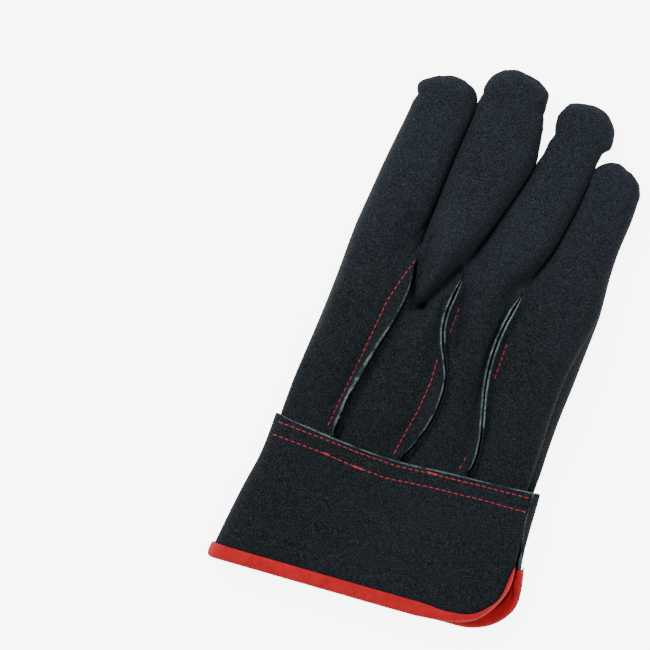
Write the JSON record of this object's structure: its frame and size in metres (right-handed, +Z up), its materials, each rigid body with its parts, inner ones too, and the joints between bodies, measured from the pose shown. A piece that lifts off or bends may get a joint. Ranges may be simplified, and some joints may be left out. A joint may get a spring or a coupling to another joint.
{
  "type": "leather work glove",
  "caption": "Suede leather work glove for the right hand, lying palm down with its thumb folded under, with a bound safety cuff slit at the side.",
  "frame": {"origin": "middle of the underside of the glove's bounding box, as it lies on its palm", "axes": "+X across the hand from the index side to the little finger's side, +Y from the cuff to the fingertips, +Z up out of the hand's back"},
  "size_m": [0.1444, 0.246, 0.0294],
  "materials": {
    "black_suede": "black dyed split leather with a suede nap, blue-grey where it catches the light",
    "raw_edge": "cut edges of the same split leather, undyed inside and blue-grey",
    "red_binding": "woven red binding tape folded over the cuff's edge",
    "red_thread": "spun red sewing thread"
  },
  "bodies": {
    "root": {"palm": "black_suede", "index_back": "black_suede", "middle_back": "black_suede", "ring_back": "black_suede", "little_back": "black_suede", "thumb": "black_suede", "cuff": "black_suede", "binding": "red_binding"}
  },
  "joints": []
}
